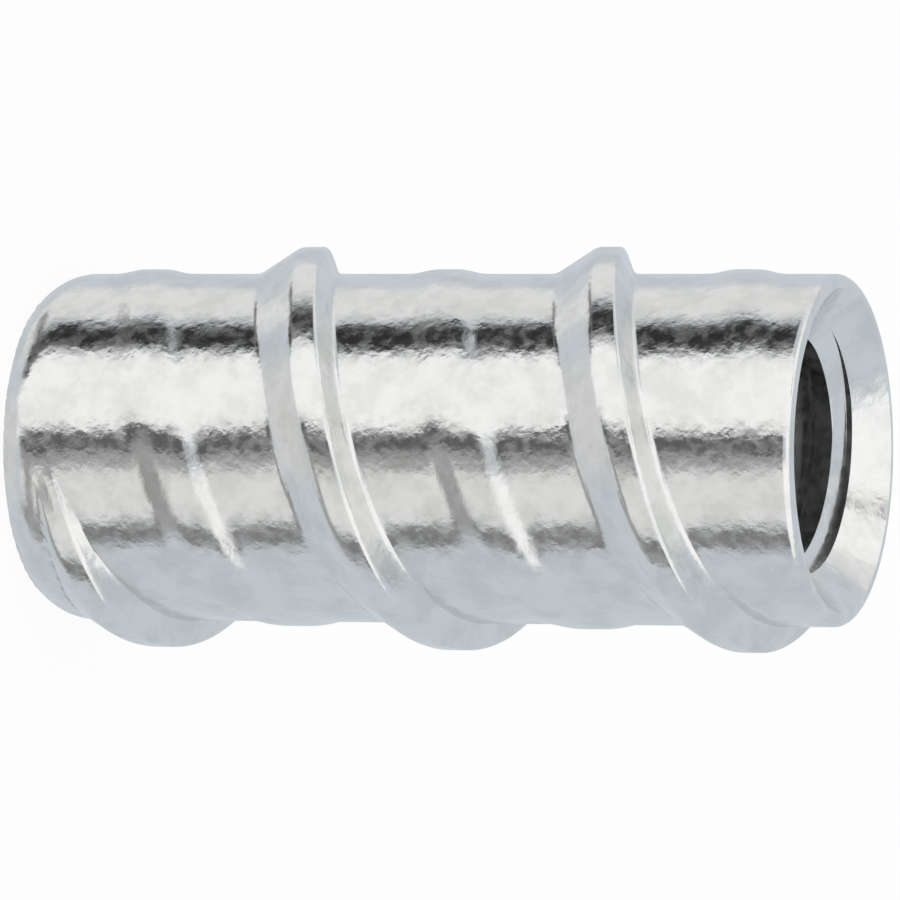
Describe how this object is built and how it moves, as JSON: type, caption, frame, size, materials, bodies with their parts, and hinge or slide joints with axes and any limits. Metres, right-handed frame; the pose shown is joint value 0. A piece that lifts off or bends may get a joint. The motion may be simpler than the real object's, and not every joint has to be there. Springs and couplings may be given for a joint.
{
  "type": "concrete screw anchor",
  "caption": "Internally threaded concrete screw anchor of zinc-plated steel, with a high and a low outer thread and a blind 3/8-16 bore.",
  "frame": {"origin": "centre of the leading face, which the anchor stands on", "axes": "+Z along the bore towards the mouth; +X through the first crest of the high thread on that side"},
  "size_m": [0.0146, 0.0146, 0.0302],
  "materials": {
    "zinc_plated_steel": "zinc plated, semi-bright"
  },
  "bodies": {
    "root": {"screw_anchor": "zinc_plated_steel"}
  },
  "joints": []
}
